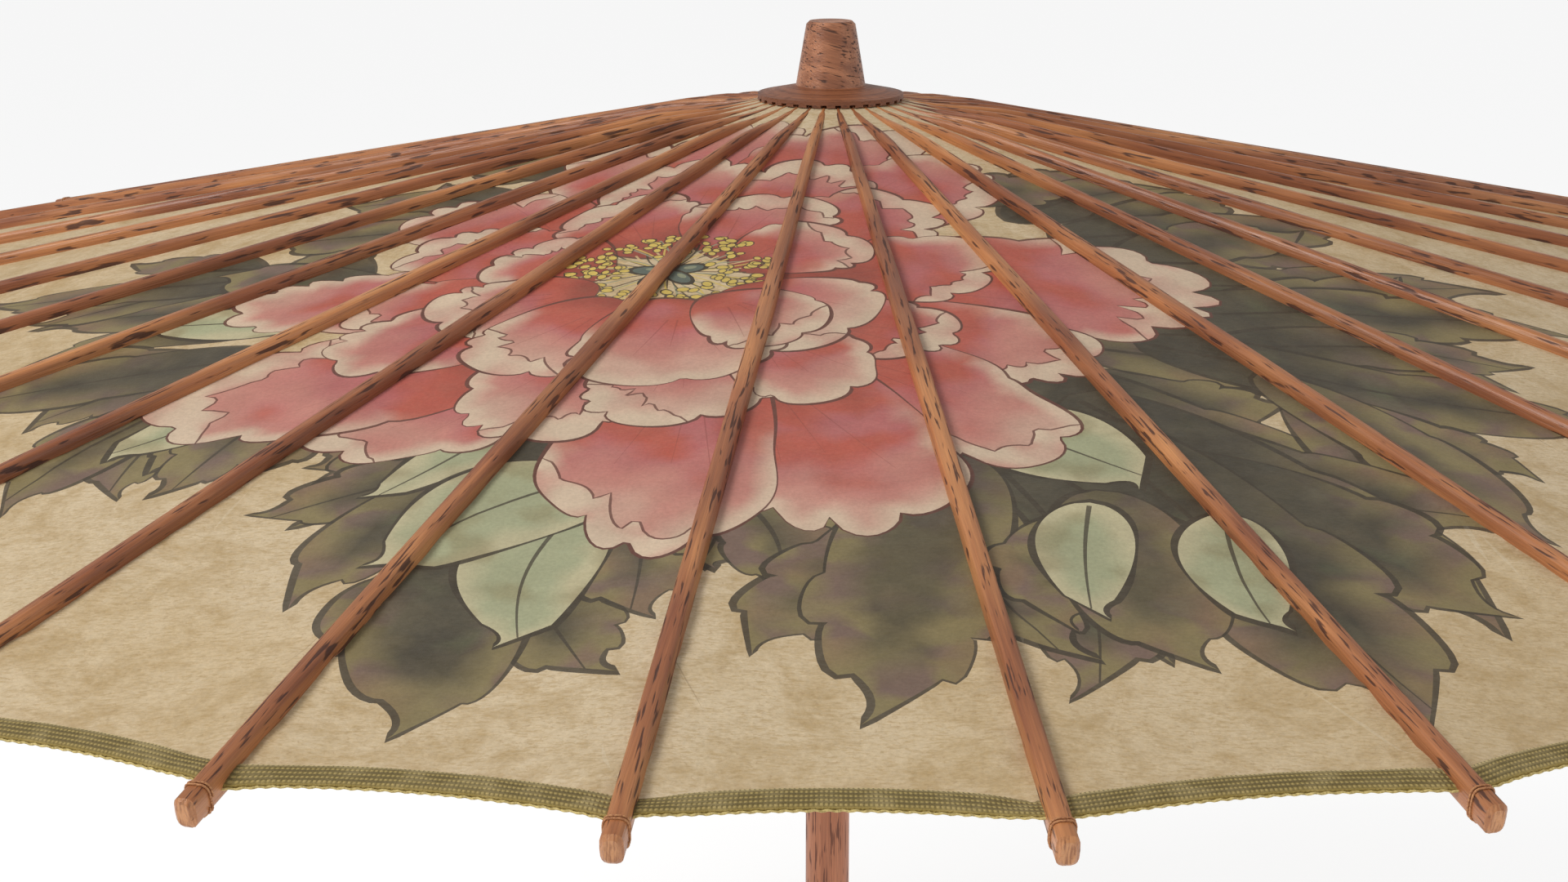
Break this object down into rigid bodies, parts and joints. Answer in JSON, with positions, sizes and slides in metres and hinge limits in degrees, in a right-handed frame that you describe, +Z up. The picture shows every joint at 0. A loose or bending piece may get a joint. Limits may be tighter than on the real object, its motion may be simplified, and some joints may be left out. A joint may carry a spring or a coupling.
{
  "type": "oil paper umbrella",
  "caption": "Open oil paper umbrella with bamboo ribs, a painted peony canopy, a wooden pole, finial and handle, and a sliding runner that folds it.",
  "frame": {"origin": "centre of the handle's flat foot, on the pole's axis", "axes": "+Z up the pole to the finial; the catch is on the +X side; the pictured side faces -Y"},
  "size_m": [0.8444, 0.8444, 0.5556],
  "materials": {
    "finial": "dark brown wood with streaks, satin oil",
    "cap": "orange-brown wood, satin lacquer",
    "hub": "brown wood, satin",
    "cord": "reddish-brown waxed thread",
    "peg": "pale bamboo, bare",
    "paper": "cream oiled paper with a painted peony, soft sheen",
    "binding": "olive-green woven band with a gold stitched edge",
    "pole": "reddish-brown wood, satin oil",
    "strut": "split bamboo, satin",
    "catch": "aged brass, satin",
    "catch_pin": "bright steel wire",
    "handle": "turned reddish-brown wood, satin oil",
    "ring": "aged brass, satin",
    "rib": "streaked reddish-brown bamboo, satin oil"
  },
  "bodies": {
    "frame": {"pole": "pole", "handle": "handle", "handle_ring": "ring", "handle_pin": "peg", "finial": "finial", "cap_disc": "cap", "head_hub": "hub", "head_cord": "cord", "head_pin": "peg", "catch_pin": "catch_pin", "canopy_paper": "paper", "rim_band": "binding"},
    "runner": {"runner": "hub", "runner_cord": "cord", "struts": "strut"},
    "catch": {"catch_lever": "catch"},
    "rib_01": {"rib_01": "rib"},
    "rib_02": {"rib_02": "rib"},
    "rib_03": {"rib_03": "rib"},
    "rib_04": {"rib_04": "rib"},
    "rib_05": {"rib_05": "rib"},
    "rib_06": {"rib_06": "rib"},
    "rib_07": {"rib_07": "rib"},
    "rib_08": {"rib_08": "rib"},
    "rib_09": {"rib_09": "rib"},
    "rib_10": {"rib_10": "rib"},
    "rib_11": {"rib_11": "rib"},
    "rib_12": {"rib_12": "rib"},
    "rib_13": {"rib_13": "rib"},
    "rib_14": {"rib_14": "rib"},
    "rib_15": {"rib_15": "rib"},
    "rib_16": {"rib_16": "rib"},
    "rib_17": {"rib_17": "rib"},
    "rib_18": {"rib_18": "rib"},
    "rib_19": {"rib_19": "rib"},
    "rib_20": {"rib_20": "rib"},
    "rib_21": {"rib_21": "rib"},
    "rib_22": {"rib_22": "rib"},
    "rib_23": {"rib_23": "rib"},
    "rib_24": {"rib_24": "rib"},
    "rib_25": {"rib_25": "rib"},
    "rib_26": {"rib_26": "rib"},
    "rib_27": {"rib_27": "rib"},
    "rib_28": {"rib_28": "rib"},
    "rib_29": {"rib_29": "rib"},
    "rib_30": {"rib_30": "rib"},
    "rib_31": {"rib_31": "rib"},
    "rib_32": {"rib_32": "rib"}
  },
  "joints": [
    {"name": "runner_slide", "type": "slide", "parent": "frame", "child": "runner", "axis": [0, 0, -1], "range_m": [0, 0.271], "deforming": ["canopy_paper", "rim_band", "struts"]},
    {"name": "catch_press", "type": "hinge", "parent": "frame", "child": "catch", "pos_m": [0.0035, 0, 0.37], "axis": [0, 1, 0], "range_deg": [0, 8]},
    {"name": "rib_01_fold", "type": "hinge", "parent": "frame", "child": "rib_01", "pos_m": [0.00167, -0.01692, 0.52991], "axis": [0.9952, 0.098, 0], "range_deg": [0, 74.5]},
    {"name": "rib_02_fold", "type": "hinge", "parent": "frame", "child": "rib_02", "pos_m": [0.00493, -0.01627, 0.52991], "axis": [0.9569, 0.2903, 0], "range_deg": [0, 74.5]},
    {"name": "rib_03_fold", "type": "hinge", "parent": "frame", "child": "rib_03", "pos_m": [0.00801, -0.01499, 0.52991], "axis": [0.8819, 0.4714, 0], "range_deg": [0, 74.5]},
    {"name": "rib_04_fold", "type": "hinge", "parent": "frame", "child": "rib_04", "pos_m": [0.01078, -0.01314, 0.52991], "axis": [0.773, 0.6344, 0], "range_deg": [0, 74.5]},
    {"name": "rib_05_fold", "type": "hinge", "parent": "frame", "child": "rib_05", "pos_m": [0.01314, -0.01078, 0.52991], "axis": [0.6344, 0.773, 0], "range_deg": [0, 74.5]},
    {"name": "rib_06_fold", "type": "hinge", "parent": "frame", "child": "rib_06", "pos_m": [0.01499, -0.00801, 0.52991], "axis": [0.4714, 0.8819, 0], "range_deg": [0, 74.5]},
    {"name": "rib_07_fold", "type": "hinge", "parent": "frame", "child": "rib_07", "pos_m": [0.01627, -0.00493, 0.52991], "axis": [0.2903, 0.9569, 0], "range_deg": [0, 74.5]},
    {"name": "rib_08_fold", "type": "hinge", "parent": "frame", "child": "rib_08", "pos_m": [0.01692, -0.00167, 0.52991], "axis": [0.098, 0.9952, 0], "range_deg": [0, 74.5]},
    {"name": "rib_09_fold", "type": "hinge", "parent": "frame", "child": "rib_09", "pos_m": [0.01692, 0.00167, 0.52991], "axis": [-0.098, 0.9952, 0], "range_deg": [0, 74.5]},
    {"name": "rib_10_fold", "type": "hinge", "parent": "frame", "child": "rib_10", "pos_m": [0.01627, 0.00493, 0.52991], "axis": [-0.2903, 0.9569, 0], "range_deg": [0, 74.5]},
    {"name": "rib_11_fold", "type": "hinge", "parent": "frame", "child": "rib_11", "pos_m": [0.01499, 0.00801, 0.52991], "axis": [-0.4714, 0.8819, 0], "range_deg": [0, 74.5]},
    {"name": "rib_12_fold", "type": "hinge", "parent": "frame", "child": "rib_12", "pos_m": [0.01314, 0.01078, 0.52991], "axis": [-0.6344, 0.773, 0], "range_deg": [0, 74.5]},
    {"name": "rib_13_fold", "type": "hinge", "parent": "frame", "child": "rib_13", "pos_m": [0.01078, 0.01314, 0.52991], "axis": [-0.773, 0.6344, 0], "range_deg": [0, 74.5]},
    {"name": "rib_14_fold", "type": "hinge", "parent": "frame", "child": "rib_14", "pos_m": [0.00801, 0.01499, 0.52991], "axis": [-0.8819, 0.4714, 0], "range_deg": [0, 74.5]},
    {"name": "rib_15_fold", "type": "hinge", "parent": "frame", "child": "rib_15", "pos_m": [0.00493, 0.01627, 0.52991], "axis": [-0.9569, 0.2903, 0], "range_deg": [0, 74.5]},
    {"name": "rib_16_fold", "type": "hinge", "parent": "frame", "child": "rib_16", "pos_m": [0.00167, 0.01692, 0.52991], "axis": [-0.9952, 0.098, 0], "range_deg": [0, 74.5]},
    {"name": "rib_17_fold", "type": "hinge", "parent": "frame", "child": "rib_17", "pos_m": [-0.00167, 0.01692, 0.52991], "axis": [-0.9952, -0.098, 0], "range_deg": [0, 74.5]},
    {"name": "rib_18_fold", "type": "hinge", "parent": "frame", "child": "rib_18", "pos_m": [-0.00493, 0.01627, 0.52991], "axis": [-0.9569, -0.2903, 0], "range_deg": [0, 74.5]},
    {"name": "rib_19_fold", "type": "hinge", "parent": "frame", "child": "rib_19", "pos_m": [-0.00801, 0.01499, 0.52991], "axis": [-0.8819, -0.4714, 0], "range_deg": [0, 74.5]},
    {"name": "rib_20_fold", "type": "hinge", "parent": "frame", "child": "rib_20", "pos_m": [-0.01078, 0.01314, 0.52991], "axis": [-0.773, -0.6344, 0], "range_deg": [0, 74.5]},
    {"name": "rib_21_fold", "type": "hinge", "parent": "frame", "child": "rib_21", "pos_m": [-0.01314, 0.01078, 0.52991], "axis": [-0.6344, -0.773, 0], "range_deg": [0, 74.5]},
    {"name": "rib_22_fold", "type": "hinge", "parent": "frame", "child": "rib_22", "pos_m": [-0.01499, 0.00801, 0.52991], "axis": [-0.4714, -0.8819, 0], "range_deg": [0, 74.5]},
    {"name": "rib_23_fold", "type": "hinge", "parent": "frame", "child": "rib_23", "pos_m": [-0.01627, 0.00493, 0.52991], "axis": [-0.2903, -0.9569, 0], "range_deg": [0, 74.5]},
    {"name": "rib_24_fold", "type": "hinge", "parent": "frame", "child": "rib_24", "pos_m": [-0.01692, 0.00167, 0.52991], "axis": [-0.098, -0.9952, 0], "range_deg": [0, 74.5]},
    {"name": "rib_25_fold", "type": "hinge", "parent": "frame", "child": "rib_25", "pos_m": [-0.01692, -0.00167, 0.52991], "axis": [0.098, -0.9952, 0], "range_deg": [0, 74.5]},
    {"name": "rib_26_fold", "type": "hinge", "parent": "frame", "child": "rib_26", "pos_m": [-0.01627, -0.00493, 0.52991], "axis": [0.2903, -0.9569, 0], "range_deg": [0, 74.5]},
    {"name": "rib_27_fold", "type": "hinge", "parent": "frame", "child": "rib_27", "pos_m": [-0.01499, -0.00801, 0.52991], "axis": [0.4714, -0.8819, 0], "range_deg": [0, 74.5]},
    {"name": "rib_28_fold", "type": "hinge", "parent": "frame", "child": "rib_28", "pos_m": [-0.01314, -0.01078, 0.52991], "axis": [0.6344, -0.773, 0], "range_deg": [0, 74.5]},
    {"name": "rib_29_fold", "type": "hinge", "parent": "frame", "child": "rib_29", "pos_m": [-0.01078, -0.01314, 0.52991], "axis": [0.773, -0.6344, 0], "range_deg": [0, 74.5]},
    {"name": "rib_30_fold", "type": "hinge", "parent": "frame", "child": "rib_30", "pos_m": [-0.00801, -0.01499, 0.52991], "axis": [0.8819, -0.4714, 0], "range_deg": [0, 74.5]},
    {"name": "rib_31_fold", "type": "hinge", "parent": "frame", "child": "rib_31", "pos_m": [-0.00493, -0.01627, 0.52991], "axis": [0.9569, -0.2903, 0], "range_deg": [0, 74.5]},
    {"name": "rib_32_fold", "type": "hinge", "parent": "frame", "child": "rib_32", "pos_m": [-0.00167, -0.01692, 0.52991], "axis": [0.9952, -0.098, 0], "range_deg": [0, 74.5]}
  ],
  "couplings": [
    {"joint": "rib_01_fold", "follows": "runner_slide", "rad_per_m": 4.798},
    {"joint": "rib_02_fold", "follows": "runner_slide", "rad_per_m": 4.798},
    {"joint": "rib_03_fold", "follows": "runner_slide", "rad_per_m": 4.798},
    {"joint": "rib_04_fold", "follows": "runner_slide", "rad_per_m": 4.798},
    {"joint": "rib_05_fold", "follows": "runner_slide", "rad_per_m": 4.798},
    {"joint": "rib_06_fold", "follows": "runner_slide", "rad_per_m": 4.798},
    {"joint": "rib_07_fold", "follows": "runner_slide", "rad_per_m": 4.798},
    {"joint": "rib_08_fold", "follows": "runner_slide", "rad_per_m": 4.798},
    {"joint": "rib_09_fold", "follows": "runner_slide", "rad_per_m": 4.798},
    {"joint": "rib_10_fold", "follows": "runner_slide", "rad_per_m": 4.798},
    {"joint": "rib_11_fold", "follows": "runner_slide", "rad_per_m": 4.798},
    {"joint": "rib_12_fold", "follows": "runner_slide", "rad_per_m": 4.798},
    {"joint": "rib_13_fold", "follows": "runner_slide", "rad_per_m": 4.798},
    {"joint": "rib_14_fold", "follows": "runner_slide", "rad_per_m": 4.798},
    {"joint": "rib_15_fold", "follows": "runner_slide", "rad_per_m": 4.798},
    {"joint": "rib_16_fold", "follows": "runner_slide", "rad_per_m": 4.798},
    {"joint": "rib_17_fold", "follows": "runner_slide", "rad_per_m": 4.798},
    {"joint": "rib_18_fold", "follows": "runner_slide", "rad_per_m": 4.798},
    {"joint": "rib_19_fold", "follows": "runner_slide", "rad_per_m": 4.798},
    {"joint": "rib_20_fold", "follows": "runner_slide", "rad_per_m": 4.798},
    {"joint": "rib_21_fold", "follows": "runner_slide", "rad_per_m": 4.798},
    {"joint": "rib_22_fold", "follows": "runner_slide", "rad_per_m": 4.798},
    {"joint": "rib_23_fold", "follows": "runner_slide", "rad_per_m": 4.798},
    {"joint": "rib_24_fold", "follows": "runner_slide", "rad_per_m": 4.798},
    {"joint": "rib_25_fold", "follows": "runner_slide", "rad_per_m": 4.798},
    {"joint": "rib_26_fold", "follows": "runner_slide", "rad_per_m": 4.798},
    {"joint": "rib_27_fold", "follows": "runner_slide", "rad_per_m": 4.798},
    {"joint": "rib_28_fold", "follows": "runner_slide", "rad_per_m": 4.798},
    {"joint": "rib_29_fold", "follows": "runner_slide", "rad_per_m": 4.798},
    {"joint": "rib_30_fold", "follows": "runner_slide", "rad_per_m": 4.798},
    {"joint": "rib_31_fold", "follows": "runner_slide", "rad_per_m": 4.798},
    {"joint": "rib_32_fold", "follows": "runner_slide", "rad_per_m": 4.798}
  ]
}
